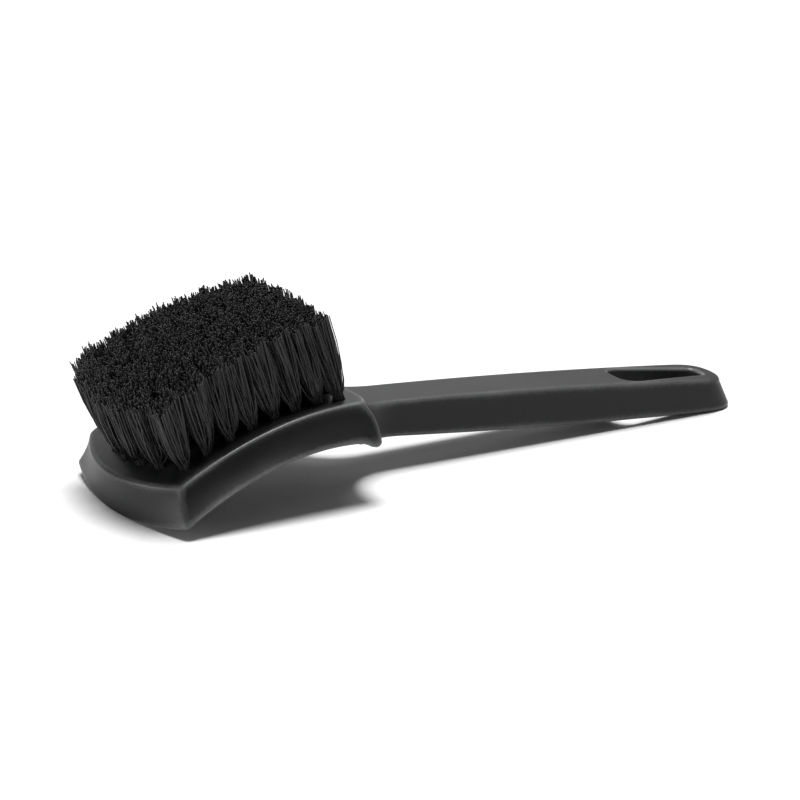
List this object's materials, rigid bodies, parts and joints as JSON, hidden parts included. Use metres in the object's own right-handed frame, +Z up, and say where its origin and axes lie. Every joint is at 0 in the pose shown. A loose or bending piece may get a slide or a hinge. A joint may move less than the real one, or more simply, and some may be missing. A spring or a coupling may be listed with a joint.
{
  "type": "wheel brush",
  "caption": "Short-handled wheel and tyre brush: a moulded handle and arched head in one piece, with a dense block of leaning bristle tufts and a hang hole in the handle.",
  "frame": {"origin": "centre of the bottom of the bounding box, on the surface the brush lies on, bristles up", "axes": "+X from the nose of the head towards the end of the handle, +Y across the head, +Z up, the way the bristles point"},
  "size_m": [0.2752, 0.0862, 0.0718],
  "materials": {
    "moulded_plastic": "satin black moulded polypropylene, fine even texture",
    "bristle": "black polypropylene filaments with a slight sheen"
  },
  "bodies": {
    "root": {"handle_body": "moulded_plastic", "tuft_1_1": "bristle", "tuft_1_2": "bristle", "tuft_1_3": "bristle", "tuft_1_4": "bristle", "tuft_1_5": "bristle", "tuft_1_6": "bristle", "tuft_1_7": "bristle", "tuft_1_8": "bristle", "tuft_2_1": "bristle", "tuft_2_2": "bristle", "tuft_2_3": "bristle", "tuft_2_4": "bristle", "tuft_2_5": "bristle", "tuft_2_6": "bristle", "tuft_2_7": "bristle", "tuft_2_8": "bristle", "tuft_3_1": "bristle", "tuft_3_2": "bristle", "tuft_3_3": "bristle", "tuft_3_4": "bristle", "tuft_3_5": "bristle", "tuft_3_6": "bristle", "tuft_3_7": "bristle", "tuft_3_8": "bristle", "tuft_3_9": "bristle", "tuft_4_1": "bristle", "tuft_4_2": "bristle", "tuft_4_3": "bristle", "tuft_4_4": "bristle", "tuft_4_5": "bristle", "tuft_4_6": "bristle", "tuft_4_7": "bristle", "tuft_4_8": "bristle", "tuft_4_9": "bristle", "tuft_5_1": "bristle", "tuft_5_2": "bristle", "tuft_5_3": "bristle", "tuft_5_4": "bristle", "tuft_5_5": "bristle", "tuft_5_6": "bristle", "tuft_5_7": "bristle", "tuft_5_8": "bristle", "tuft_5_9": "bristle", "tuft_6_1": "bristle", "tuft_6_2": "bristle", "tuft_6_3": "bristle", "tuft_6_4": "bristle", "tuft_6_5": "bristle", "tuft_6_6": "bristle", "tuft_6_7": "bristle", "tuft_6_8": "bristle", "tuft_7_1": "bristle", "tuft_7_2": "bristle", "tuft_7_3": "bristle", "tuft_7_4": "bristle", "tuft_7_5": "bristle", "tuft_7_6": "bristle", "tuft_7_7": "bristle", "tuft_7_8": "bristle"}
  },
  "joints": []
}
